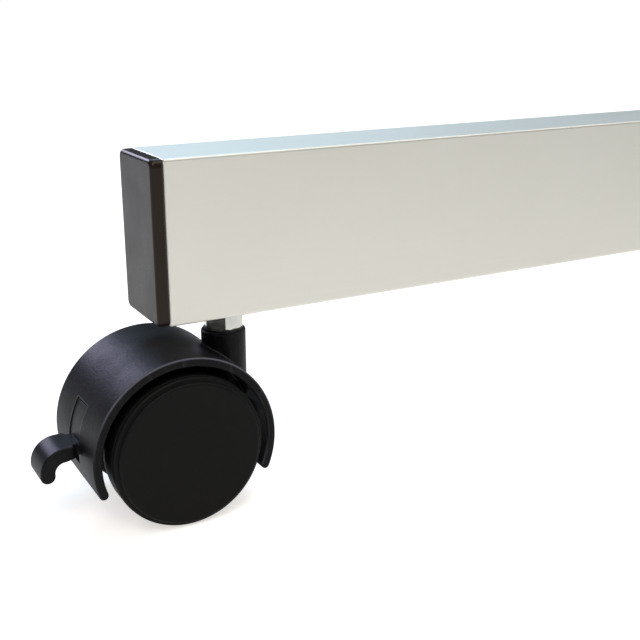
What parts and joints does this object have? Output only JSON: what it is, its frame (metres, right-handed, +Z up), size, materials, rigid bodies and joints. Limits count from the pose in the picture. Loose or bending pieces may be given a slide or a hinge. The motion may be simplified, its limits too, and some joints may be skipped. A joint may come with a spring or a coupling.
{
  "type": "caster foot rail",
  "caption": "Rectangular aluminium foot rail with plug end caps, on hooded twin-wheel swivel casters with threaded stems and brake levers, drilled for an upright.",
  "frame": {"origin": "on the floor under the middle of the rail", "axes": "+X along the rail, +Z up, +Y across the rail"},
  "size_m": [0.5832, 0.047, 0.1159],
  "materials": {
    "rail_aluminium": "satin anodised, fine lengthwise grain",
    "cap_plastic": "satin moulded black plastic",
    "hood_nylon": "fine-grained moulded black nylon",
    "lever_nylon": "smooth moulded black nylon",
    "wheel_nylon": "matte black nylon tread",
    "cover_plastic": "flat matte black cover",
    "zinc_steel": "bright zinc plate",
    "spring_steel": "dark oiled spring steel"
  },
  "bodies": {
    "rail": {"rail_tube": "rail_aluminium", "upright_sleeves": "zinc_steel", "end_cap_left": "cap_plastic", "rivet_nut_left": "zinc_steel", "stem_left": "zinc_steel", "thrust_washer_left": "lever_nylon", "stem_clip_left": "spring_steel", "end_cap_right": "cap_plastic", "rivet_nut_right": "zinc_steel", "stem_right": "zinc_steel", "thrust_washer_right": "lever_nylon", "stem_clip_right": "spring_steel"},
    "caster_left": {"hood_left": "hood_nylon", "axle_left": "zinc_steel", "axle_clips_left": "spring_steel", "brake_pin_left": "zinc_steel"},
    "wheel_left_front": {"wheel_left_front": "wheel_nylon", "wheel_cover_left_front": "cover_plastic"},
    "wheel_left_back": {"wheel_left_back": "wheel_nylon", "wheel_cover_left_back": "cover_plastic"},
    "lever_left": {"brake_lever_left": "lever_nylon"},
    "caster_right": {"hood_right": "hood_nylon", "axle_right": "zinc_steel", "axle_clips_right": "spring_steel", "brake_pin_right": "zinc_steel"},
    "wheel_right_front": {"wheel_right_front": "wheel_nylon", "wheel_cover_right_front": "cover_plastic"},
    "wheel_right_back": {"wheel_right_back": "wheel_nylon", "wheel_cover_right_back": "cover_plastic"},
    "lever_right": {"brake_lever_right": "lever_nylon"}
  },
  "joints": [
    {"name": "swivel_left", "type": "hinge", "parent": "rail", "child": "caster_left", "pos_m": [-0.2264, 0, 0.05], "axis": [0, 0, 1], "continuous": true},
    {"name": "spin_left_front", "type": "hinge", "parent": "caster_left", "child": "wheel_left_front", "pos_m": [-0.2484, 0, 0.025], "axis": [0, 1, 0], "continuous": true},
    {"name": "spin_left_back", "type": "hinge", "parent": "caster_left", "child": "wheel_left_back", "pos_m": [-0.2484, 0, 0.025], "axis": [0, 1, 0], "continuous": true},
    {"name": "brake_left", "type": "hinge", "parent": "caster_left", "child": "lever_left", "pos_m": [-0.2624, 0, 0.031], "axis": [0, -1, 0], "range_deg": [0, 8]},
    {"name": "swivel_right", "type": "hinge", "parent": "rail", "child": "caster_right", "pos_m": [0.2264, 0, 0.05], "axis": [0, 0, 1], "continuous": true},
    {"name": "spin_right_front", "type": "hinge", "parent": "caster_right", "child": "wheel_right_front", "pos_m": [0.2484, 0, 0.025], "axis": [0, 1, 0], "continuous": true},
    {"name": "spin_right_back", "type": "hinge", "parent": "caster_right", "child": "wheel_right_back", "pos_m": [0.2484, 0, 0.025], "axis": [0, 1, 0], "continuous": true},
    {"name": "brake_right", "type": "hinge", "parent": "caster_right", "child": "lever_right", "pos_m": [0.2624, 0, 0.031], "axis": [0, 1, 0], "range_deg": [0, 8]}
  ]
}
